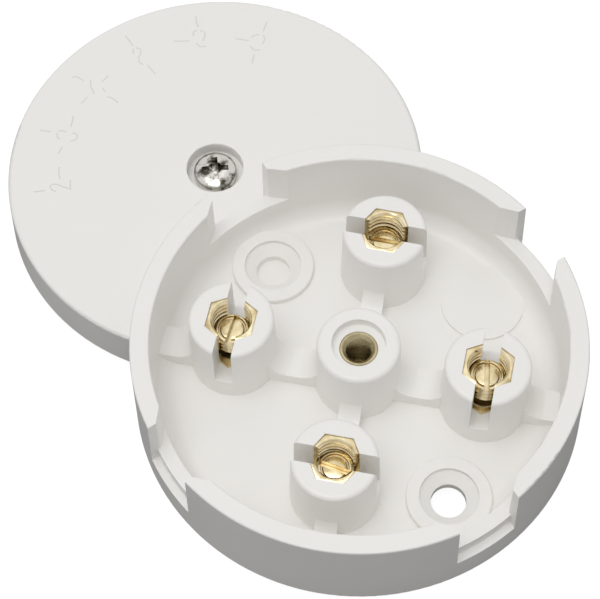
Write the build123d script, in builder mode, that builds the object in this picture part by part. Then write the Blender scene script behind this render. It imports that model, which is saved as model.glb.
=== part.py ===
"""Round junction box: an open base with four terminal posts, lying against its cover.

The base lies flat on the edge of the cover. Its back and the top of the cover are one plane, tilted so
that the lower edges of both rest on the ground and the point of the cover's screw props the far side.
"""
import math
import os

from build123d import *

os.makedirs("parts", exist_ok=True)

# Driving dimensions in mm. Heights on the base count from its back plane, on the cover from its top.
BACK_R = 45.1
RIM_R = 44.5
BASE_H = 21.5
RIM_INNER_R = 40.7
FLOOR_R = 40.4
FLOOR_Z = 2.8
FLOOR_COVE_R = 4.0
EDGE_R = 0.4

# Terminal posts about every quarter turn: angle from the base's X axis and distance from its axis
POSTS = ((-0.4, 25.5), (88.8, 25.9), (178.8, 25.55), (270.0, 24.95))
POST_FOOT_R = 8.9
POST_TOP_R = 8.45
POST_TOP_Z = 19.2
POST_EDGE_R = 0.9
POST_SLOT_W = 3.7
POST_SLOT_Z = 8.2

# Ribs from the centre post through the terminal posts to the wall, coved where they meet a post
RIB_X_W = 6.6
RIB_Y_W = 4.4
RIB_Z = 5.9
COVE_R = 4.2
COVE_SINK = 0.05

# Brass pillars and their clamping screws
PILLAR_FLATS = 9.5
PILLAR_FOOT_Z = 3.6
PILLAR_TOP_Z = 19.0
PILLAR_SLOT_W = 3.6
PILLAR_SLOT_Z = 9.0
PILLAR_BORE_R = 3.75
PILLAR_BORE_Z = 8.4
PILLAR_MOUTH_R = 4.15
CLAMP_R = 3.70
CLAMP_FOOT_Z = 10.6
CLAMP_TOP_Z = 15.0
CLAMP_CHAMFER = 0.6

# Centre post with its threaded insert
CENTRE_FOOT_R = 8.7
CENTRE_TOP_R = 8.25
CENTRE_TOP_Z = 18.7
CENTRE_EDGE_R = 1.0
COUNTERBORE_R = 5.35
INSERT_R = 3.8
INSERT_FOOT_Z = 5.4
INSERT_TOP_Z = 16.6
INSERT_BORE_R = 2.5
INSERT_BORE_Z = 6.6
INSERT_MOUTH_R = 3.6

# Fixing holes in dished pads, and a blank pad
FIXING_PITCH_R = 31.25
FIXING_ANGLES = (135.0, 315.0)
PAD_R = 8.5
PAD_Z = 4.1
PAD_EDGE_R = 0.3
CUP_R = 5.9
CUP_Z = 3.1
HOLE_R = 3.5
HOLE_TOP_Z = 1.6
BLANK_ANGLE = 45.0
BLANK_PITCH_R = 31.0
BLANK_Z = 3.4

# Cable notches through the wall, about half way between the posts
NOTCH_ANGLES = (43.1, 135.3, 225.2, 313.6)
NOTCH_HALF_W = 6.6
NOTCH_LEDGE_Z = 7.2
NOTCH_LIP_Z = 10.5
NOTCH_LIP_R = 43.3
FACET_OUT_R = 42.2
FACET_IN_R = 37.5
FACET_HALF_W = 11.94

# Cover and its captive screw
COVER_H = 10.5
COVER_TOP_R = 44.8
SKIRT_R = 45.4
SKIRT_T = 3.2
PLATE_T = 2.5
COVER_EDGE_R = 0.8
HEAD_WELL_R = 6.1
HEAD_WELL_EDGE_R = 0.25
SEAT_DEPTH = 3.2
COVER_BOSS_R = 8.2
COVER_BOSS_DEPTH = 6.2
SHANK_HOLE_R = 2.5
HEAD_R = 4.6
HEAD_TOP_DEPTH = 0.15
HEAD_RIM_DEPTH = 1.2
SEAT_GAP = 0.02
SHANK_R = 2.42
SHANK_CHAMFER = 0.5
GROUND_GAP = 0.02
RETAINER_R = 4.8
RETAINER_T = 1.0
RETAINER_GAP = 0.15

# How the two lie: distance of their axes, and the cover's direction from the base's own X
CENTRES = 60.8
COVER_ANGLE = 131.1
ORIGIN_Y = -29.45

# The tilt that brings both lower edges to the ground, with the ground plane seen from the tilted frame
TILT = math.atan2(COVER_H, BACK_R + CENTRES - SKIRT_R)
BACK_HEIGHT = (BACK_R - EDGE_R) * math.sin(TILT) + EDGE_R * (1.0 - math.cos(TILT))


def ground_depth(along):
    """Depth of the ground below the shared plane at this distance from the base's axis to the cover."""
    return (BACK_HEIGHT + along * math.sin(TILT)) / math.cos(TILT)


SHANK_TIP = ground_depth(CENTRES - SHANK_R + SHANK_CHAMFER) - GROUND_GAP

UP = Vector(0, -math.sin(TILT), math.cos(TILT))
RISE = Vector(0, math.cos(TILT), math.sin(TILT))
TURN = math.radians(90.0 - COVER_ANGLE)
BASE = Plane(
    origin=Vector(0, ORIGIN_Y, BACK_HEIGHT),
    x_dir=Vector(1, 0, 0) * math.cos(TURN) + RISE * math.sin(TURN),
    z_dir=UP,
)
COVER = Plane(origin=BASE.origin + RISE * CENTRES, x_dir=Vector(1, 0, 0), z_dir=UP)


def level(plane, z, angle=0.0, reach=0.0):
    """Plane parallel to the given one at height z, turned by the angle and moved out along it."""
    a = math.radians(angle)
    out = plane.x_dir * math.cos(a) + plane.y_dir * math.sin(a)
    return Plane(origin=plane.origin + out * reach + plane.z_dir * z, x_dir=out, z_dir=plane.z_dir)


def section(plane, angle=0.0, reach=0.0):
    """Upright plane through the axis at this reach: x runs outward, y along the plane's normal."""
    flat = level(plane, 0.0, angle, reach)
    return Plane(origin=flat.origin, x_dir=flat.x_dir, z_dir=flat.x_dir.cross(flat.z_dir))


def axis(plane, angle=0.0, reach=0.0):
    return Axis(level(plane, 0.0, angle, reach).origin, plane.z_dir)


def corner(sketch, x, y):
    return [min(sketch.vertices(), key=lambda v: (v.X - x) ** 2 + (v.Y - y) ** 2)]


def cove_line(post_r):
    """End points and middle of the cove between a post of this radius and the top of a rib."""
    foot, bend = RIB_Z - COVE_SINK, COVE_R * (1.0 - math.sqrt(0.5))
    return (post_r + COVE_R, foot), (post_r + bend, foot + bend), (post_r, foot + COVE_R)


# Coves of the ribs round the centre post, added to the base below
with BuildPart() as centre_cove:
    with BuildSketch(section(BASE)):
        with BuildLine():
            low, mid, high = cove_line(CENTRE_TOP_R)
            ThreePointArc(low, mid, high)
            Polyline(high, (1.0, high[1]), (1.0, FLOOR_Z), (low[0], FLOOR_Z), low)
        make_face()
    revolve(axis=axis(BASE))
    with BuildSketch(level(BASE, FLOOR_Z)):
        Rectangle(4 * POST_FOOT_R, RIB_X_W)
        Rectangle(RIB_Y_W, 4 * POST_FOOT_R)
    extrude(amount=BASE_H, mode=Mode.INTERSECT)

# The same round the terminal posts on the base's X axis, and round those on its Y axis
with BuildPart() as post_coves_x:
    for angle, reach in POSTS[0::2]:
        with BuildSketch(section(BASE, angle, reach)):
            with BuildLine():
                low, mid, high = cove_line(POST_TOP_R)
                ThreePointArc(low, mid, high)
                Polyline(high, (1.0, high[1]), (1.0, FLOOR_Z), (low[0], FLOOR_Z), low)
            make_face()
        revolve(axis=axis(BASE, angle, reach))
    with BuildSketch(level(BASE, FLOOR_Z)):
        Rectangle(2 * BACK_R, RIB_X_W)
    extrude(amount=BASE_H, mode=Mode.INTERSECT)

with BuildPart() as post_coves_y:
    for angle, reach in POSTS[1::2]:
        with BuildSketch(section(BASE, angle, reach)):
            with BuildLine():
                low, mid, high = cove_line(POST_TOP_R)
                ThreePointArc(low, mid, high)
                Polyline(high, (1.0, high[1]), (1.0, FLOOR_Z), (low[0], FLOOR_Z), low)
            make_face()
        revolve(axis=axis(BASE, angle, reach))
    with BuildSketch(level(BASE, FLOOR_Z)):
        Rectangle(RIB_Y_W, 2 * BACK_R)
    extrude(amount=BASE_H, mode=Mode.INTERSECT)

with BuildPart() as base:
    # Tray turned about the base's own axis
    with BuildSketch(section(BASE)) as tray:
        with BuildLine():
            Polyline(
                (0, 0), (BACK_R, 0), (RIM_R, BASE_H), (RIM_INNER_R, BASE_H), (FLOOR_R, FLOOR_Z),
                (0, FLOOR_Z), close=True,
            )
        make_face()
        fillet(corner(tray, BACK_R, 0), EDGE_R)
        fillet(corner(tray, RIM_R, BASE_H), EDGE_R)
        fillet(corner(tray, RIM_INNER_R, BASE_H), EDGE_R)
        fillet(corner(tray, FLOOR_R, FLOOR_Z), FLOOR_COVE_R)
    revolve(axis=axis(BASE))

    # Ribs crossing at the centre
    with BuildSketch(level(BASE, FLOOR_Z - 1.0)):
        Rectangle(2 * FLOOR_R + 1.0, RIB_X_W)
        Rectangle(RIB_Y_W, 2 * FLOOR_R + 1.0)
    extrude(amount=RIB_Z - FLOOR_Z + 1.0)

    # Terminal posts
    for angle, reach in POSTS:
        with BuildSketch(section(BASE, angle, reach)) as post:
            with BuildLine():
                Polyline(
                    (0, FLOOR_Z - 1.0), (POST_FOOT_R, FLOOR_Z - 1.0), (POST_TOP_R, POST_TOP_Z),
                    (0, POST_TOP_Z), close=True,
                )
            make_face()
            fillet(corner(post, POST_TOP_R, POST_TOP_Z), POST_EDGE_R)
        revolve(axis=axis(BASE, angle, reach))

    # Centre post
    with BuildSketch(section(BASE)) as centre:
        with BuildLine():
            Polyline(
                (0, FLOOR_Z - 1.0), (CENTRE_FOOT_R, FLOOR_Z - 1.0), (CENTRE_TOP_R, CENTRE_TOP_Z),
                (0, CENTRE_TOP_Z), close=True,
            )
        make_face()
        fillet(corner(centre, CENTRE_TOP_R, CENTRE_TOP_Z), CENTRE_EDGE_R)
    revolve(axis=axis(BASE))

    add(centre_cove.part)
    add(post_coves_x.part)
    add(post_coves_y.part)

    # Pads of the two fixing holes, and the blank pad
    for angle in FIXING_ANGLES:
        with BuildSketch(section(BASE, angle, FIXING_PITCH_R)) as pad:
            with BuildLine():
                Polyline((0, 1.0), (PAD_R, 1.0), (PAD_R, PAD_Z), (0, PAD_Z), close=True)
            make_face()
            fillet(corner(pad, PAD_R, PAD_Z), PAD_EDGE_R)
        revolve(axis=axis(BASE, angle, FIXING_PITCH_R))
    with BuildSketch(level(BASE, FLOOR_Z - 1.0, BLANK_ANGLE, BLANK_PITCH_R)):
        Circle(PAD_R)
    extrude(amount=BLANK_Z - FLOOR_Z + 1.0)

    # Dished cups and holes of the fixing pads
    for angle in FIXING_ANGLES:
        with BuildSketch(section(BASE, angle, FIXING_PITCH_R)):
            with BuildLine():
                Polyline(
                    (0, -1.0), (HOLE_R, -1.0), (HOLE_R, HOLE_TOP_Z), (CUP_R, CUP_Z), (CUP_R, PAD_Z + 1.0),
                    (0, PAD_Z + 1.0), close=True,
                )
            make_face()
        revolve(axis=axis(BASE, angle, FIXING_PITCH_R), mode=Mode.SUBTRACT)

    # Pocket of each brass pillar and the cross slot of its post
    for angle, reach in POSTS:
        with BuildSketch(level(BASE, PILLAR_FOOT_Z, angle, reach)):
            RegularPolygon(radius=PILLAR_FLATS / 2, side_count=6, major_radius=False, rotation=30)
        extrude(amount=BASE_H, mode=Mode.SUBTRACT)
        with BuildSketch(level(BASE, POST_SLOT_Z, angle, reach)):
            Rectangle(POST_SLOT_W, 2 * POST_FOOT_R + 2.0)
        extrude(amount=BASE_H, mode=Mode.SUBTRACT)

    # Counterbore and insert seat of the centre post
    with BuildSketch(section(BASE)):
        with BuildLine():
            Polyline(
                (0, INSERT_FOOT_Z), (INSERT_R, INSERT_FOOT_Z), (INSERT_R, INSERT_TOP_Z),
                (COUNTERBORE_R, INSERT_TOP_Z), (COUNTERBORE_R, BASE_H), (0, BASE_H), close=True,
            )
        make_face()
    revolve(axis=axis(BASE), mode=Mode.SUBTRACT)

    # Cable notches: outer ledge, inner lip and the wall ends thinned from inside
    for angle in NOTCH_ANGLES:
        with BuildSketch(level(BASE, NOTCH_LEDGE_Z, angle)):
            with Locations((BACK_R, 0)):
                Rectangle(8.0, 2 * NOTCH_HALF_W)
            with Locations((0, 0)):
                Circle(NOTCH_LIP_R, mode=Mode.SUBTRACT)
        extrude(amount=BASE_H, mode=Mode.SUBTRACT)
        with BuildSketch(level(BASE, NOTCH_LIP_Z, angle)):
            with BuildLine():
                Polyline(
                    (NOTCH_LIP_R + 1.0, -NOTCH_HALF_W), (NOTCH_LIP_R + 1.0, NOTCH_HALF_W),
                    (FACET_OUT_R, NOTCH_HALF_W), (FACET_IN_R, FACET_HALF_W),
                    (FACET_IN_R, -FACET_HALF_W), (FACET_OUT_R, -NOTCH_HALF_W), close=True,
                )
            make_face()
        extrude(amount=BASE_H, mode=Mode.SUBTRACT)
base.part.label = "base"

with BuildPart() as cover:
    with BuildSketch(section(COVER)) as shell:
        with BuildLine():
            Polyline(
                (HEAD_WELL_R, 0), (COVER_TOP_R, 0), (SKIRT_R, -COVER_H), (SKIRT_R - SKIRT_T, -COVER_H),
                (SKIRT_R - SKIRT_T - 0.3, -PLATE_T), (COVER_BOSS_R, -PLATE_T), (COVER_BOSS_R, -COVER_BOSS_DEPTH),
                (SHANK_HOLE_R, -COVER_BOSS_DEPTH), (SHANK_HOLE_R, -SEAT_DEPTH), (HEAD_WELL_R, -SEAT_DEPTH),
                close=True,
            )
        make_face()
        fillet(corner(shell, COVER_TOP_R, 0), COVER_EDGE_R)
        fillet(corner(shell, HEAD_WELL_R, 0), HEAD_WELL_EDGE_R)
        fillet(corner(shell, SKIRT_R, -COVER_H), EDGE_R)
    revolve(axis=axis(COVER))
cover.part.label = "cover"

with BuildPart() as cover_screw:
    with BuildSketch(section(COVER)):
        with BuildLine():
            seat = -SEAT_DEPTH + SEAT_GAP
            ThreePointArc((0, -HEAD_TOP_DEPTH), (HEAD_R / 2, -HEAD_TOP_DEPTH - 0.26), (HEAD_R, -HEAD_RIM_DEPTH))
            Polyline(
                (HEAD_R, -HEAD_RIM_DEPTH), (HEAD_R, seat), (SHANK_R, seat),
                (SHANK_R, -SHANK_TIP + SHANK_CHAMFER), (SHANK_R - SHANK_CHAMFER, -SHANK_TIP),
                (0, -SHANK_TIP), (0, -HEAD_TOP_DEPTH),
            )
        make_face()
    revolve(axis=axis(COVER))
cover_screw.part.label = "cover_screw"

with BuildPart() as screw_retainer:
    with BuildSketch(level(COVER, -COVER_BOSS_DEPTH - RETAINER_GAP - RETAINER_T)):
        Circle(RETAINER_R)
        Circle(SHANK_R, mode=Mode.SUBTRACT)
    extrude(amount=RETAINER_T)
screw_retainer.part.label = "screw_retainer"

with BuildPart() as centre_insert:
    with BuildSketch(section(BASE)):
        with BuildLine():
            Polyline(
                (0, INSERT_FOOT_Z), (INSERT_R, INSERT_FOOT_Z), (INSERT_R, INSERT_TOP_Z),
                (INSERT_MOUTH_R, INSERT_TOP_Z), (INSERT_BORE_R, INSERT_TOP_Z - INSERT_MOUTH_R + INSERT_BORE_R),
                (INSERT_BORE_R, INSERT_BORE_Z), (0, INSERT_BORE_Z), close=True,
            )
        make_face()
    revolve(axis=axis(BASE))
centre_insert.part.label = "centre_insert"

# Section of the threaded bore and chamfered mouth of a pillar
PILLAR_BORE = (
    (0, PILLAR_BORE_Z), (PILLAR_BORE_R, PILLAR_BORE_Z),
    (PILLAR_BORE_R, PILLAR_TOP_Z - PILLAR_MOUTH_R + PILLAR_BORE_R),
    (PILLAR_MOUTH_R, PILLAR_TOP_Z), (PILLAR_MOUTH_R, BASE_H), (0, BASE_H),
)

with BuildPart() as terminal_pillar_1:
    with BuildSketch(level(BASE, PILLAR_FOOT_Z, *POSTS[0])):
        RegularPolygon(radius=PILLAR_FLATS / 2, side_count=6, major_radius=False, rotation=30)
    extrude(amount=PILLAR_TOP_Z - PILLAR_FOOT_Z)
    with BuildSketch(section(BASE, *POSTS[0])):
        with BuildLine():
            Polyline(*PILLAR_BORE, close=True)
        make_face()
    revolve(axis=axis(BASE, *POSTS[0]), mode=Mode.SUBTRACT)
    with BuildSketch(level(BASE, PILLAR_SLOT_Z, *POSTS[0])):
        Rectangle(PILLAR_SLOT_W, 2 * PILLAR_FLATS)
    extrude(amount=BASE_H, mode=Mode.SUBTRACT)
terminal_pillar_1.part.label = "terminal_pillar_1"

with BuildPart() as terminal_pillar_2:
    with BuildSketch(level(BASE, PILLAR_FOOT_Z, *POSTS[1])):
        RegularPolygon(radius=PILLAR_FLATS / 2, side_count=6, major_radius=False, rotation=30)
    extrude(amount=PILLAR_TOP_Z - PILLAR_FOOT_Z)
    with BuildSketch(section(BASE, *POSTS[1])):
        with BuildLine():
            Polyline(*PILLAR_BORE, close=True)
        make_face()
    revolve(axis=axis(BASE, *POSTS[1]), mode=Mode.SUBTRACT)
    with BuildSketch(level(BASE, PILLAR_SLOT_Z, *POSTS[1])):
        Rectangle(PILLAR_SLOT_W, 2 * PILLAR_FLATS)
    extrude(amount=BASE_H, mode=Mode.SUBTRACT)
terminal_pillar_2.part.label = "terminal_pillar_2"

with BuildPart() as terminal_pillar_3:
    with BuildSketch(level(BASE, PILLAR_FOOT_Z, *POSTS[2])):
        RegularPolygon(radius=PILLAR_FLATS / 2, side_count=6, major_radius=False, rotation=30)
    extrude(amount=PILLAR_TOP_Z - PILLAR_FOOT_Z)
    with BuildSketch(section(BASE, *POSTS[2])):
        with BuildLine():
            Polyline(*PILLAR_BORE, close=True)
        make_face()
    revolve(axis=axis(BASE, *POSTS[2]), mode=Mode.SUBTRACT)
    with BuildSketch(level(BASE, PILLAR_SLOT_Z, *POSTS[2])):
        Rectangle(PILLAR_SLOT_W, 2 * PILLAR_FLATS)
    extrude(amount=BASE_H, mode=Mode.SUBTRACT)
terminal_pillar_3.part.label = "terminal_pillar_3"

with BuildPart() as terminal_pillar_4:
    with BuildSketch(level(BASE, PILLAR_FOOT_Z, *POSTS[3])):
        RegularPolygon(radius=PILLAR_FLATS / 2, side_count=6, major_radius=False, rotation=30)
    extrude(amount=PILLAR_TOP_Z - PILLAR_FOOT_Z)
    with BuildSketch(section(BASE, *POSTS[3])):
        with BuildLine():
            Polyline(*PILLAR_BORE, close=True)
        make_face()
    revolve(axis=axis(BASE, *POSTS[3]), mode=Mode.SUBTRACT)
    with BuildSketch(level(BASE, PILLAR_SLOT_Z, *POSTS[3])):
        Rectangle(PILLAR_SLOT_W, 2 * PILLAR_FLATS)
    extrude(amount=BASE_H, mode=Mode.SUBTRACT)
terminal_pillar_4.part.label = "terminal_pillar_4"

# Section of a clamping screw; its driving slot and thread are modelled with the look
CLAMP = (
    (0, CLAMP_FOOT_Z), (CLAMP_R - CLAMP_CHAMFER, CLAMP_FOOT_Z), (CLAMP_R, CLAMP_FOOT_Z + CLAMP_CHAMFER),
    (CLAMP_R, CLAMP_TOP_Z - CLAMP_CHAMFER), (CLAMP_R - CLAMP_CHAMFER, CLAMP_TOP_Z), (0, CLAMP_TOP_Z),
)

with BuildPart() as terminal_screw_1:
    with BuildSketch(section(BASE, *POSTS[0])):
        with BuildLine():
            Polyline(*CLAMP, close=True)
        make_face()
    revolve(axis=axis(BASE, *POSTS[0]))
terminal_screw_1.part.label = "terminal_screw_1"

with BuildPart() as terminal_screw_2:
    with BuildSketch(section(BASE, *POSTS[1])):
        with BuildLine():
            Polyline(*CLAMP, close=True)
        make_face()
    revolve(axis=axis(BASE, *POSTS[1]))
terminal_screw_2.part.label = "terminal_screw_2"

with BuildPart() as terminal_screw_3:
    with BuildSketch(section(BASE, *POSTS[2])):
        with BuildLine():
            Polyline(*CLAMP, close=True)
        make_face()
    revolve(axis=axis(BASE, *POSTS[2]))
terminal_screw_3.part.label = "terminal_screw_3"

with BuildPart() as terminal_screw_4:
    with BuildSketch(section(BASE, *POSTS[3])):
        with BuildLine():
            Polyline(*CLAMP, close=True)
        make_face()
    revolve(axis=axis(BASE, *POSTS[3]))
terminal_screw_4.part.label = "terminal_screw_4"

export_step(base.part, "parts/base.step")
export_step(cover.part, "parts/cover.step")
export_step(cover_screw.part, "parts/cover_screw.step")
export_step(screw_retainer.part, "parts/screw_retainer.step")
export_step(centre_insert.part, "parts/centre_insert.step")
export_step(terminal_pillar_1.part, "parts/terminal_pillar_1.step")
export_step(terminal_pillar_2.part, "parts/terminal_pillar_2.step")
export_step(terminal_pillar_3.part, "parts/terminal_pillar_3.step")
export_step(terminal_pillar_4.part, "parts/terminal_pillar_4.step")
export_step(terminal_screw_1.part, "parts/terminal_screw_1.step")
export_step(terminal_screw_2.part, "parts/terminal_screw_2.step")
export_step(terminal_screw_3.part, "parts/terminal_screw_3.step")
export_step(terminal_screw_4.part, "parts/terminal_screw_4.step")
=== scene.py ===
import math

import bpy
from mathutils import Matrix, Vector


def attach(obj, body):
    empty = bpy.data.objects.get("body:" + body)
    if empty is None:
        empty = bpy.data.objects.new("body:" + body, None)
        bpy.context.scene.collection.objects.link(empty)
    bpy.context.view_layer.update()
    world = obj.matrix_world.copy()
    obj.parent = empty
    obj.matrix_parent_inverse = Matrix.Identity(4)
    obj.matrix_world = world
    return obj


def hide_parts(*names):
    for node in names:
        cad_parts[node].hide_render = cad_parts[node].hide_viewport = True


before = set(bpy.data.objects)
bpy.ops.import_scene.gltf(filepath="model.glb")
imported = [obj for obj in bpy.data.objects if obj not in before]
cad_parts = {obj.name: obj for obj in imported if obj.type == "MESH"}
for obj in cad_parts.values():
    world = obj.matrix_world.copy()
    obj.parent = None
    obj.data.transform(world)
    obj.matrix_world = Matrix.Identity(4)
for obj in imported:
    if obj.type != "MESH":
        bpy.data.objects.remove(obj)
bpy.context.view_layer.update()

bpy.context.scene.view_settings.view_transform = 'Standard'
MM = 0.001

# How the two halves lie, as in the CAD (mm): the base's back and the cover's top share one plane
BACK_R = 45.1
EDGE_R = 0.4
SKIRT_R = 45.4
COVER_H = 10.5
CENTRES = 60.8
COVER_ANGLE = 131.1
ORIGIN_Y = -29.45
TILT = math.atan2(COVER_H, BACK_R + CENTRES - SKIRT_R)
BACK_HEIGHT = (BACK_R - EDGE_R) * math.sin(TILT) + EDGE_R * (1.0 - math.cos(TILT))
SHARED = (
    Matrix.Translation(Vector((0, ORIGIN_Y, BACK_HEIGHT)) * MM) @ Matrix.Rotation(TILT, 4, 'X')
)
BASE_PLACE = SHARED @ Matrix.Rotation(math.radians(90.0 - COVER_ANGLE), 4, 'Z')
COVER_PLACE = SHARED @ Matrix.Translation(Vector((0, CENTRES, 0)) * MM)

# Camera, in the shared plane's frame, from the edges in the photograph (mm)
CAMERA_FROM = Vector((-89.23, -145.46, 352.31))
CAMERA_TO = Vector((2.414, 28.36, -10.69))
CAMERA_ROLL = math.radians(-2.27)
CAMERA_LENS = 115.43
CAMERA_SENSOR = 36.0
CAMERA_NEAR = 10.0

# Terminals: angle and distance of each post, then the pillar and its clamping screw (mm)
POSTS = ((-0.4, 25.5), (88.8, 25.9), (178.8, 25.55), (270.0, 24.95))
PILLAR_FLATS = 9.5
PILLAR_EDGE = 0.12
PILLAR_FOOT_Z = 3.6
PILLAR_TOP_Z = 19.0
PILLAR_SLOT_W = 3.6
PILLAR_SLOT_Z = 9.0
PILLAR_BORE_R = 3.75
PILLAR_BORE_Z = 8.4
PILLAR_MOUTH_R = 4.15
PILLAR_PITCH = 1.4
PILLAR_LAND = 0.4
CLAMP_R = 3.70
CLAMP_FOOT_Z = 10.6
CLAMP_TOP_Z = 15.0
CLAMP_CHAMFER = 0.6
CLAMP_FACE = (        # radius and depth under the top: flat ring, groove, low dome
    (CLAMP_R - CLAMP_CHAMFER, 0.06), (2.85, 0.06), (2.72, 0.5), (2.44, 0.5), (2.25, 0.16),
    (1.6, 0.05), (0.8, 0.01), (0, 0),
)
CLAMP_SLOT_W = 1.1
CLAMP_SLOT_DEPTH = 1.6
CLAMP_SLOT_LENGTH = 6.5
CLAMP_SLOT_TURN = (98.0, 90.0, 85.0, 80.0)
THREAD_DEPTH = 0.5

# Centre insert and cover screw; heights of the screw are from the cover's top (mm)
INSERT_R = 3.8
INSERT_FOOT_Z = 5.4
INSERT_FOOT_EDGE = 0.2
INSERT_TOP_Z = 16.6
INSERT_TOP_EDGE = 0.15
INSERT_BORE_R = 2.5
INSERT_BORE_Z = 6.6
INSERT_MOUTH_R = 3.1
INSERT_MOUTH_EDGE = 0.12
INSERT_TAP_RISE = 0.3
HEAD_R = 4.6
HEAD_EDGE = 0.15
HEAD_TOP_DEPTH = 0.15
HEAD_RIM_DEPTH = 1.2
HEAD_DOME = (         # share of the head's radius and height over its rim
    (1.0, -0.1), (0.985, 0.08), (0.93, 0.26), (0.8, 0.52), (0.6, 0.78), (0.4, 0.91), (0.2, 1.02),
    (0, 1.05),
)
SEAT_DEPTH = 3.18
SHANK_R = 2.42
SHANK_PITCH = 0.8
SHANK_THREAD_DEPTH = 0.28
SHANK_TIP_Z = -17.95
SHANK_TAPER = (0.6, 0.7)
RECESS_TURNS = (-25.0, 65.0)
RECESS_ARM = (5.8, 1.3, 4.0)
RECESS_CORE = ((0, -2.4), (0.6, -2.3), (1.7, 0.3), (0, 0.3))

# How round parts are divided, and how cutters and fillers overlap with what they meet (mm)
TURN_STEPS = 64
THREAD_STEPS = 32
CREST_SHARE = 0.15
MERGE_TURNED = 0.001
MERGE_THREAD = 0.002
SLICE_REACH = 0.0001
SPARE = 0.01
OVERLAP = 0.2
PAST = 0.5
SMOOTH_ANGLE = 35.0


def start_fresh():
    """Leaves edit mode with nothing selected."""
    if bpy.context.object is not None and bpy.context.object.mode != 'OBJECT':
        bpy.ops.object.mode_set(mode='OBJECT')
    bpy.ops.object.select_all(action='DESELECT')


def pick(piece):
    start_fresh()
    bpy.context.view_layer.objects.active = piece
    piece.select_set(True)


def trace(name, path):
    """Extrudes one point along a path in mm, and stays in edit mode."""
    start_fresh()
    bpy.ops.mesh.primitive_plane_add(size=MM, location=(0, 0, 0))
    piece = bpy.context.object
    piece.name = name
    bpy.ops.object.mode_set(mode='EDIT')
    bpy.ops.mesh.select_all(action='SELECT')
    bpy.ops.mesh.merge(type='CENTER')
    here = Vector((0, 0, 0))
    for count, point in enumerate(path):
        there = Vector([value * MM for value in point])
        if count == 0:
            bpy.ops.transform.translate(value=there - here)
        else:
            bpy.ops.mesh.extrude_region_move(TRANSFORM_OT_translate={"value": there - here})
        here = there
    return piece


def turned(name, profile):
    """Lathe work: a profile of radius and height, spun once round the upright axis."""
    piece = trace(name, [(radius, 0, height) for radius, height in profile])
    bpy.ops.mesh.select_all(action='SELECT')
    bpy.ops.mesh.spin(steps=TURN_STEPS, angle=2 * math.pi, center=(0, 0, 0), axis=(0, 0, 1))
    bpy.ops.mesh.select_all(action='SELECT')
    bpy.ops.mesh.remove_doubles(threshold=MERGE_TURNED * MM)
    bpy.ops.mesh.dissolve_degenerate(threshold=MERGE_TURNED * MM)
    bpy.ops.mesh.normals_make_consistent(inside=False)
    bpy.ops.object.mode_set(mode='OBJECT')
    return piece


def threaded(name, root_r, crest_r, pitch, low, high, land=0.15):
    """A threaded rod between two heights, closed at both ends; land is the share left at the root."""
    start = low - pitch
    turns = math.ceil((high - start) / pitch) + 1
    crest = 0.5 + land / 2
    piece = trace(name, [(radius, 0, start + share * pitch) for radius, share in (
        (root_r, 0), (root_r, land), (crest_r, crest - CREST_SHARE / 2),
        (crest_r, crest + CREST_SHARE / 2), (root_r, 1),
    )])
    bpy.ops.object.mode_set(mode='OBJECT')
    helix = piece.modifiers.new("helix", 'SCREW')
    helix.angle = 2 * math.pi
    helix.screw_offset = pitch * MM
    helix.iterations = turns
    helix.steps = THREAD_STEPS
    helix.render_steps = THREAD_STEPS
    pick(piece)
    bpy.ops.object.modifier_apply(modifier="helix")
    bpy.ops.object.mode_set(mode='EDIT')
    bpy.ops.mesh.select_all(action='SELECT')
    bpy.ops.mesh.remove_doubles(threshold=MERGE_THREAD * MM)
    bpy.ops.mesh.select_all(action='SELECT')
    bpy.ops.mesh.bisect(plane_co=(0, 0, low * MM), plane_no=(0, 0, 1), clear_inner=True,
                        use_fill=True, threshold=SLICE_REACH * MM)
    bpy.ops.mesh.select_all(action='SELECT')
    bpy.ops.mesh.bisect(plane_co=(0, 0, high * MM), plane_no=(0, 0, 1), clear_outer=True,
                        use_fill=True, threshold=SLICE_REACH * MM)
    bpy.ops.mesh.select_all(action='SELECT')
    bpy.ops.mesh.normals_make_consistent(inside=False)
    bpy.ops.object.mode_set(mode='OBJECT')
    return piece


def bar(name, size, height, turn=0.0):
    """A rectangular cutter in mm, with its middle on the upright axis."""
    start_fresh()
    bpy.ops.mesh.primitive_cube_add(
        size=1.0, location=Vector((0, 0, height)) * MM, rotation=(0, 0, math.radians(turn)),
    )
    piece = bpy.context.object
    piece.name = name
    piece.scale = Vector(size) * MM
    bpy.ops.object.transform_apply(location=True, rotation=True, scale=True)
    return piece


def cut(piece, tool, how='DIFFERENCE'):
    """Applies a boolean and throws the tool away."""
    step = piece.modifiers.new("cut", 'BOOLEAN')
    step.operation = how
    step.solver = 'EXACT'
    step.object = tool
    pick(piece)
    bpy.ops.object.modifier_apply(modifier="cut")
    bpy.data.objects.remove(tool)


def soften(piece, width, angle):
    """Rounds the edges that are sharper than an angle."""
    edge = piece.modifiers.new("edge", 'BEVEL')
    edge.width = width * MM
    edge.segments = 2
    edge.limit_method = 'ANGLE'
    edge.angle_limit = math.radians(angle)
    pick(piece)
    bpy.ops.object.modifier_apply(modifier="edge")


def smooth(piece):
    pick(piece)
    bpy.ops.object.shade_smooth_by_angle(angle=math.radians(SMOOTH_ANGLE))


def put(piece, place):
    """Moves a piece that was modelled upright at the origin to its place, kept in its mesh."""
    pick(piece)
    piece.matrix_world = place
    bpy.ops.object.transform_apply(location=True, rotation=True, scale=True)


def copy_of(piece, name):
    other = piece.copy()
    other.data = piece.data.copy()
    other.name = name
    bpy.context.scene.collection.objects.link(other)
    return other


def post_place(angle, reach):
    return (
        BASE_PLACE @ Matrix.Rotation(math.radians(angle), 4, 'Z')
        @ Matrix.Translation(Vector((reach, 0, 0)) * MM)
    )


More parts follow.
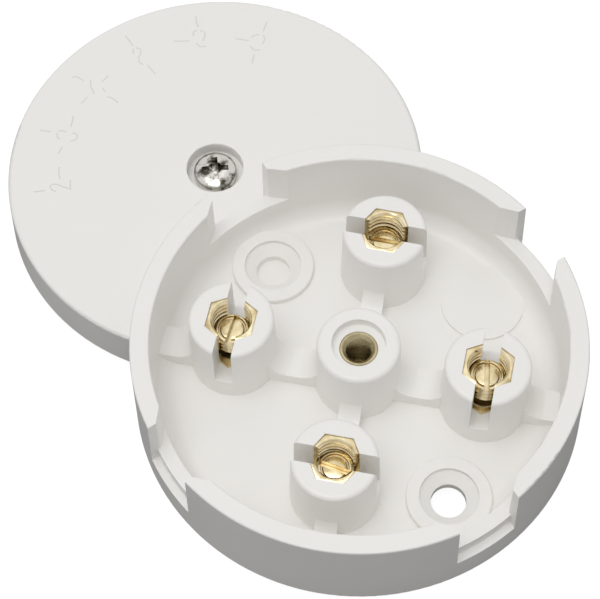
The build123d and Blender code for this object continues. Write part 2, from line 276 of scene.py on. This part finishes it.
# Materials
CREASE_REACH = 0.8
CREASE_RANGE = (0.15, 0.85)
BLOTCH_RANGE = (0.3, 0.7)
BLOTCH_DETAIL = 3.0
GRAIN_DETAIL = 2.0
GRAIN_DEPTH = 0.2
GLOSS_SPREAD = 0.05
MOULDING_IOR = 1.48


def blotches_and_shade():
    """Soft blotches, fine grain for bump, and an ambient-occlusion mask that is 1 in the open and
    lower in creases, which paints shade into creases.
    """
    group = bpy.data.node_groups.new("blotches_and_shade", 'ShaderNodeTree')
    for label, kind in (("Vector", 'NodeSocketVector'), ("Blotch Scale", 'NodeSocketFloat'),
                        ("Grain Scale", 'NodeSocketFloat')):
        group.interface.new_socket(name=label, in_out='INPUT', socket_type=kind)
    for label in ("Blotches", "Grain", "Open"):
        group.interface.new_socket(name=label, in_out='OUTPUT', socket_type='NodeSocketFloat')
    link = group.links.new
    given = group.nodes.new('NodeGroupInput')
    made = group.nodes.new('NodeGroupOutput')
    for scale, detail, result in (("Blotch Scale", BLOTCH_DETAIL, "Blotches"),
                                  ("Grain Scale", GRAIN_DETAIL, "Grain")):
        noise = group.nodes.new('ShaderNodeTexNoise')
        noise.inputs['Detail'].default_value = detail
        link(given.outputs['Vector'], noise.inputs['Vector'])
        link(given.outputs[scale], noise.inputs['Scale'])
        link(noise.outputs['Fac'], made.inputs[result])
    # Painted shade: ambient occlusion within a short reach marks creases and hollows to be darkened.
    crease = group.nodes.new('ShaderNodeAmbientOcclusion')
    crease.only_local = True
    crease.inputs['Distance'].default_value = CREASE_REACH * MM
    link(crease.outputs['AO'], made.inputs['Open'])
    return group


MARKS = blotches_and_shade()


def ranged(nodes, link, source, limits):
    """Stretches the part of a mask between two limits."""
    stretch = nodes.new('ShaderNodeMapRange')
    stretch.inputs['From Min'].default_value, stretch.inputs['From Max'].default_value = limits
    link(source, stretch.inputs['Value'])
    return stretch


def finish(name, colour, dark, roughness, metallic=0.0, blotch=60.0, grain=1500.0, bump=0.03,
           tones=BLOTCH_RANGE, crease_shade=None):
    """A surface whose colour and gloss vary in blotches over it, with a fine grain in the bump; a
    crease colour, if given, is painted shade in its creases and hollows.
    """
    material = bpy.data.materials.new(name)
    material.use_nodes = True
    nodes, link = material.node_tree.nodes, material.node_tree.links.new
    shader = nodes['Principled BSDF']
    shader.inputs['Metallic'].default_value = metallic
    place = nodes.new('ShaderNodeTexCoord')
    marks = nodes.new('ShaderNodeGroup')
    marks.node_tree = MARKS
    marks.inputs['Blotch Scale'].default_value = blotch
    marks.inputs['Grain Scale'].default_value = grain
    link(place.outputs['Object'], marks.inputs['Vector'])
    # Blotches between the dark tone and the colour: tone variation on the moulding, painted dark
    # reflection on the metals.
    blotch_and_reflection = ranged(nodes, link, marks.outputs['Blotches'], tones)
    tone = nodes.new('ShaderNodeMix')
    tone.data_type = 'RGBA'
    tone.inputs['A'].default_value = (*dark, 1.0)
    tone.inputs['B'].default_value = (*colour, 1.0)
    link(blotch_and_reflection.outputs['Result'], tone.inputs['Factor'])
    link(tone.outputs['Result'], shader.inputs['Base Color'])
    # Painted shade: creases, grooves and recesses are darkened towards the crease colour.
    if crease_shade:
        shade_mask = ranged(nodes, link, marks.outputs['Open'], CREASE_RANGE)
        shaded_mix = nodes.new('ShaderNodeMix')
        shaded_mix.data_type = 'RGBA'
        shaded_mix.inputs['A'].default_value = (*crease_shade, 1.0)
        link(shade_mask.outputs['Result'], shaded_mix.inputs['Factor'])
        link(tone.outputs['Result'], shaded_mix.inputs['B'])
        link(shaded_mix.outputs['Result'], shader.inputs['Base Color'])
    gloss = ranged(nodes, link, marks.outputs['Blotches'], BLOTCH_RANGE)
    gloss.inputs['To Min'].default_value = roughness - GLOSS_SPREAD
    gloss.inputs['To Max'].default_value = roughness + GLOSS_SPREAD
    link(gloss.outputs['Result'], shader.inputs['Roughness'])
    ripple = nodes.new('ShaderNodeBump')
    ripple.inputs['Strength'].default_value = bump
    ripple.inputs['Distance'].default_value = GRAIN_DEPTH * MM
    link(marks.outputs['Grain'], ripple.inputs['Height'])
    link(ripple.outputs['Normal'], shader.inputs['Normal'])
    return material


MOULDING = finish(
    "white_moulding", colour=(0.94, 0.927, 0.9), dark=(0.93, 0.916, 0.888), roughness=0.36,
)
MOULDING.node_tree.nodes['Principled BSDF'].inputs['IOR'].default_value = MOULDING_IOR
# Symbol lines: the moulding's plastic, coloured darker as painted shade along the raised strokes.
SHADED_LINE = finish(
    "line_with_painted_shade", colour=(0.78, 0.765, 0.735), dark=(0.75, 0.735, 0.705), roughness=0.5,
)
# Turned brass: its dark brown blotches are partly tarnish and partly painted dark reflection and
# shade; the crease colour is painted shade in the thread grooves.
BRASS = finish(
    "turned_brass", colour=(0.86, 0.76, 0.52), dark=(0.56, 0.44, 0.23), roughness=0.2,
    metallic=1.0, blotch=400.0, grain=4000.0, bump=0.05, crease_shade=(0.2, 0.12, 0.04),
)
# The crease colour is painted shade in the bush's threaded bore.
DULL_BRASS = finish(
    "dull_brass", colour=(0.52, 0.45, 0.28), dark=(0.34, 0.29, 0.17), roughness=0.28,
    metallic=1.0, blotch=400.0, grain=4000.0, bump=0.05, crease_shade=(0.16, 0.1, 0.04),
)
# Nickel plate: the near-black blotches are painted dark reflections on the screw head, and the crease
# colour is painted shade in its cross recess and thread.
NICKEL = finish(
    "nickel_plate", colour=(0.72, 0.7, 0.66), dark=(0.08, 0.07, 0.055), roughness=0.14,
    metallic=1.0, blotch=360.0, grain=700.0, bump=0.2, tones=(0.43, 0.56),
    crease_shade=(0.07, 0.06, 0.05),
)


def dress(piece, material):
    piece.data.materials.clear()
    piece.data.materials.append(material)


def refinish(node, material):
    """Gives a CAD node its material through its slots."""
    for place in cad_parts[node].material_slots:
        place.material = material


refinish("base", MOULDING)
refinish("cover", MOULDING)
refinish("screw_retainer", NICKEL)


# Terminal pillars: hexagon brass with a threaded bore, a chamfered mouth and the wire slot
start_fresh()
bpy.ops.mesh.primitive_cylinder_add(
    vertices=6, radius=PILLAR_FLATS / math.sqrt(3) * MM, depth=(PILLAR_TOP_Z - PILLAR_FOOT_Z) * MM,
    location=(0, 0, (PILLAR_TOP_Z + PILLAR_FOOT_Z) / 2 * MM), rotation=(0, 0, 0),
)
pillar = bpy.context.object
bpy.ops.object.transform_apply(location=True, rotation=True, scale=True)
soften(pillar, PILLAR_EDGE, angle=30.0)
cut(pillar, turned("mouth", [
    (0, PILLAR_BORE_Z), (PILLAR_BORE_R, PILLAR_BORE_Z),
    (PILLAR_BORE_R, PILLAR_TOP_Z - PILLAR_MOUTH_R + PILLAR_BORE_R),
    (PILLAR_MOUTH_R + PAST, PILLAR_TOP_Z + PAST), (0, PILLAR_TOP_Z + PAST),
]))
cut(pillar, threaded(
    "tap", PILLAR_BORE_R - SPARE, PILLAR_BORE_R + THREAD_DEPTH, PILLAR_PITCH, PILLAR_BORE_Z,
    PILLAR_TOP_Z + OVERLAP, land=PILLAR_LAND,
))
cut(pillar, bar(
    "wire_slot", (PILLAR_SLOT_W, 2 * PILLAR_FLATS, 2 * PILLAR_TOP_Z), PILLAR_SLOT_Z + PILLAR_TOP_Z,
))
smooth(pillar)
for number, post in enumerate(POSTS, 1):
    piece = copy_of(pillar, f"brass_pillar_{number}")
    put(piece, post_place(*post))
    dress(piece, BRASS)
    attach(piece, "box")
    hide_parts(f"terminal_pillar_{number}")
bpy.data.objects.remove(pillar)

# Clamping screws: threaded and slotted, with a turned ring round a low dome on top
clamp = threaded("clamp", CLAMP_R - THREAD_DEPTH, CLAMP_R, PILLAR_PITCH, CLAMP_FOOT_Z, CLAMP_TOP_Z)
cut(clamp, turned("clamp_ends", [
    (0, CLAMP_FOOT_Z), (CLAMP_R - CLAMP_CHAMFER, CLAMP_FOOT_Z),
    (CLAMP_R + SPARE, CLAMP_FOOT_Z + CLAMP_CHAMFER), (CLAMP_R + SPARE, CLAMP_TOP_Z - CLAMP_CHAMFER),
    *((radius, CLAMP_TOP_Z - depth) for radius, depth in CLAMP_FACE),
]), 'INTERSECT')
for number, post in enumerate(POSTS, 1):
    piece = copy_of(clamp, f"clamping_screw_{number}")
    cut(piece, bar(
        "driver_slot", (CLAMP_SLOT_LENGTH, CLAMP_SLOT_W, 2 * CLAMP_SLOT_DEPTH), CLAMP_TOP_Z,
        turn=CLAMP_SLOT_TURN[number - 1],
    ))
    smooth(piece)
    put(piece, post_place(*post))
    dress(piece, BRASS)
    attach(piece, f"terminal_screw_{number}")
    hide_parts(f"terminal_screw_{number}")
bpy.data.objects.remove(clamp)

# Centre insert: closed brass bush with a threaded bore
bush = turned("threaded_insert", [
    (0, INSERT_FOOT_Z), (INSERT_R - INSERT_FOOT_EDGE, INSERT_FOOT_Z),
    (INSERT_R, INSERT_FOOT_Z + INSERT_FOOT_EDGE), (INSERT_R, INSERT_TOP_Z - INSERT_TOP_EDGE),
    (INSERT_R - INSERT_TOP_EDGE, INSERT_TOP_Z), (INSERT_MOUTH_R + INSERT_MOUTH_EDGE, INSERT_TOP_Z),
    (INSERT_MOUTH_R, INSERT_TOP_Z - INSERT_MOUTH_EDGE),
    (INSERT_BORE_R, INSERT_TOP_Z - INSERT_MOUTH_R + INSERT_BORE_R), (INSERT_BORE_R, INSERT_BORE_Z),
    (0, INSERT_BORE_Z),
])
cut(bush, threaded(
    "bush_tap", INSERT_BORE_R - SPARE, INSERT_BORE_R + SHANK_THREAD_DEPTH, SHANK_PITCH,
    INSERT_BORE_Z + INSERT_TAP_RISE, INSERT_TOP_Z + PAST,
))
smooth(bush)
put(bush, BASE_PLACE)
dress(bush, DULL_BRASS)
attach(bush, "box")
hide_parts("centre_insert")

# Cover screw: domed head with a cross recess, and a threaded shank with a tapered end
head = turned("domed_cover_screw", [
    (0, -SEAT_DEPTH), (HEAD_R - HEAD_EDGE, -SEAT_DEPTH), (HEAD_R, -SEAT_DEPTH + HEAD_EDGE),
    *((HEAD_R * share, -HEAD_RIM_DEPTH + rise) for share, rise in HEAD_DOME),
])
for turn in RECESS_TURNS:
    cut(head, bar("recess_arm", RECESS_ARM, -HEAD_TOP_DEPTH, turn=turn))
cut(head, turned("recess_core", RECESS_CORE))
shank = threaded("shank", SHANK_R - SHANK_THREAD_DEPTH, SHANK_R, SHANK_PITCH, SHANK_TIP_Z,
                 -SEAT_DEPTH + OVERLAP)
cut(shank, turned("shank_end", [
    (0, SHANK_TIP_Z), (SHANK_R - SHANK_TAPER[0], SHANK_TIP_Z),
    (SHANK_R + 10 * SPARE, SHANK_TIP_Z + SHANK_TAPER[1]), (SHANK_R + 10 * SPARE, 0), (0, 0),
]), 'INTERSECT')
cut(head, shank, 'UNION')
smooth(head)
put(head, COVER_PLACE)
dress(head, NICKEL)
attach(head, "cover_screw")
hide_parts("cover_screw")

# Line symbols in an arc on the cover, each stroke a path on its top in mm from its centre
SYMBOLS = (
    ((-36.7, 14.3), (-34.4, 13.4)),
    ((-32.5, 11.9), (-33.1, 12.9), (-33.0, 13.8), (-32.4, 14.1), (-31.5, 13.5), (-30.6, 12.2),
     (-29.4, 10.8)),
    ((-29.5, 11.0), (-28.5, 13.1)),
    ((-28.5, 27.9), (-26.6, 26.3)),
    ((-25.6, 25.3), (-26.1, 24.3), (-25.8, 23.5)),
    ((-25.2, 25.6), (-24.3, 25.4), (-23.8, 24.6)),
    ((-20.5, 27.6), (-21.2, 26.5), (-22.3, 25.3)),
    ((-22.8, 23.6), (-22.2, 23.4), (-22.1, 22.4), (-22.7, 21.7), (-24.1, 21.9)),
    ((-26.3, 21.5), (-27.8, 20.4)),
    ((-29.1, 17.2), (-30.0, 15.7), (-30.3, 14.4)),
    ((-16.1, 37.0), (-15.1, 36.5), (-14.3, 34.8)),
    ((-12.9, 34.2), (-13.7, 32.5), (-13.9, 30.4)),
    ((-9.0, 33.2), (-11.0, 32.5)),
    ((-15.6, 30.5), (-17.5, 29.6)),
    ((-11.5, 30.9), (-11.6, 29.7)),
    ((-11.8, 28.3), (-11.1, 27.7), (-10.4, 25.6)),
    ((-0.7, 41.0), (-0.4, 37.6)),
    ((-0.8, 36.9), (-1.4, 35.6)),
    ((-0.1, 36.8), (0.5, 36.1), (0.2, 35.0), (-0.9, 34.1), (-1.3, 33.0), (-0.9, 31.9)),
    ((-0.1, 31.4), (0.3, 28.3)),
    ((15.6, 37.6), (14.9, 36.2), (14.7, 34.7)),
    ((12.4, 33.2), (13.1, 34.1), (14.1, 34.2)),
    ((14.6, 33.7), (15.2, 32.7), (14.8, 31.8), (13.6, 30.9)),
    ((8.0, 34.1), (11.1, 32.4)),
    ((12.2, 31.1), (12.4, 29.7), (13.7, 29.2)),
    ((20.3, 27.7), (22.7, 25.6)),
    ((28.7, 28.1), (26.7, 26.3)),
    ((23.5, 26.0), (24.4, 26.3), (25.5, 25.9)),
    ((26.2, 25.4), (26.0, 24.2), (24.8, 23.3)),
    ((22.2, 24.2), (22.4, 22.8), (23.6, 22.1)),
    ((21.8, 21.7), (20.3, 19.9)),
)
STROKE_R = 0.32
STROKE_RISE = 0.05
STROKE_ROUND = 3

strokes = []
for number, path in enumerate(SYMBOLS):
    trace(f"stroke_{number}", [(*point, STROKE_RISE - STROKE_R) for point in path])
    bpy.ops.object.mode_set(mode='OBJECT')
    bpy.ops.object.convert(target='CURVE')
    stroke = bpy.context.object
    stroke.data.bevel_depth = STROKE_R * MM
    stroke.data.bevel_resolution = STROKE_ROUND
    stroke.data.use_fill_caps = True
    bpy.ops.object.convert(target='MESH')
    strokes.append(bpy.context.object)
start_fresh()
for stroke in strokes:
    stroke.select_set(True)
bpy.context.view_layer.objects.active = strokes[0]
bpy.ops.object.join()
symbols = bpy.context.object
symbols.name = "cover_symbols"
smooth(symbols)
put(symbols, COVER_PLACE)
dress(symbols, SHADED_LINE)
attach(symbols, "box")

# Camera
forward = (CAMERA_TO - CAMERA_FROM).normalized()
right = forward.cross(Vector((0, 0, 1))).normalized()
upward = right.cross(forward)
rolled_right = math.cos(CAMERA_ROLL) * right + math.sin(CAMERA_ROLL) * upward
rolled_up = math.cos(CAMERA_ROLL) * upward - math.sin(CAMERA_ROLL) * right
view = Matrix((rolled_right, rolled_up, -forward)).transposed().to_4x4()
view.translation = CAMERA_FROM * MM
lens = bpy.data.cameras.new("product_camera")
lens.lens = CAMERA_LENS
lens.sensor_width = CAMERA_SENSOR
lens.clip_start = CAMERA_NEAR * MM
camera = bpy.data.objects.new("product_camera", lens)
camera.matrix_world = SHARED @ view
bpy.context.scene.collection.objects.link(camera)
bpy.context.scene.camera = camera

# Studio values: floor, room and lamps (metres and watts)
FLOOR_SIZE = 6.0
FLOOR_GREY = 0.2
FLOOR_GLOW = 0.93
ROOM_FILL = 0.54
ROOM_SEEN = 1.0
ROOM_MIRRORED = 0.3
LAMP_AIM = Vector((0, -0.03, 0.02))

# Floor: grey to the light, white to the camera
start_fresh()
bpy.ops.mesh.primitive_plane_add(size=FLOOR_SIZE, location=(0, 0, 0))
floor = bpy.context.object
floor.name = "studio_floor"
paper = bpy.data.materials.new("white_paper")
paper.use_nodes = True
nodes, link = paper.node_tree.nodes, paper.node_tree.links.new
nodes.remove(nodes['Principled BSDF'])
sheet = nodes.new('ShaderNodeBsdfDiffuse')
sheet.inputs['Color'].default_value = (FLOOR_GREY, FLOOR_GREY, FLOOR_GREY, 1.0)
glow = nodes.new('ShaderNodeEmission')
path = nodes.new('ShaderNodeLightPath')
seen = nodes.new('ShaderNodeMath')
seen.operation = 'MULTIPLY'
seen.inputs[1].default_value = FLOOR_GLOW
both = nodes.new('ShaderNodeAddShader')
link(path.outputs['Is Camera Ray'], seen.inputs[0])
link(seen.outputs['Value'], glow.inputs['Strength'])
link(sheet.outputs['BSDF'], both.inputs[0])
link(glow.outputs['Emission'], both.inputs[1])
link(both.outputs['Shader'], nodes['Material Output'].inputs['Surface'])
dress(floor, paper)

# Room: white to the camera, a plain grey fill otherwise and a brighter one in reflections
room = bpy.data.worlds.new("studio_room")
bpy.context.scene.world = room
room.use_nodes = True
nodes, link = room.node_tree.nodes, room.node_tree.links.new
fill = nodes['Background']
fill.inputs['Color'].default_value = (1.0, 1.0, 1.0, 1.0)
path = nodes.new('ShaderNodeLightPath')
amount = nodes.new('ShaderNodeMapRange')
amount.inputs['To Min'].default_value = ROOM_FILL
amount.inputs['To Max'].default_value = ROOM_SEEN
link(path.outputs['Is Camera Ray'], amount.inputs['Value'])
mirrored = nodes.new('ShaderNodeMath')
mirrored.operation = 'MULTIPLY_ADD'
mirrored.inputs[1].default_value = ROOM_MIRRORED
link(path.outputs['Is Glossy Ray'], mirrored.inputs[0])
link(amount.outputs['Result'], mirrored.inputs[2])
link(mirrored.outputs['Value'], fill.inputs['Strength'])


def soft_light(name, place, size, power):
    """A square area lamp that looks at the box."""
    lamp = bpy.data.lights.new(name, 'AREA')
    lamp.size = size
    lamp.energy = power
    holder = bpy.data.objects.new(name, lamp)
    holder.location = place
    holder.rotation_euler = (LAMP_AIM - Vector(place)).to_track_quat('-Z', 'Y').to_euler()
    bpy.context.scene.collection.objects.link(holder)


soft_light("top_softbox", place=(-0.2, -0.25, 1.2), size=0.7, power=4.6)
soft_light("back_card", place=(0.3, 0.3, 1.1), size=0.6, power=0.4)
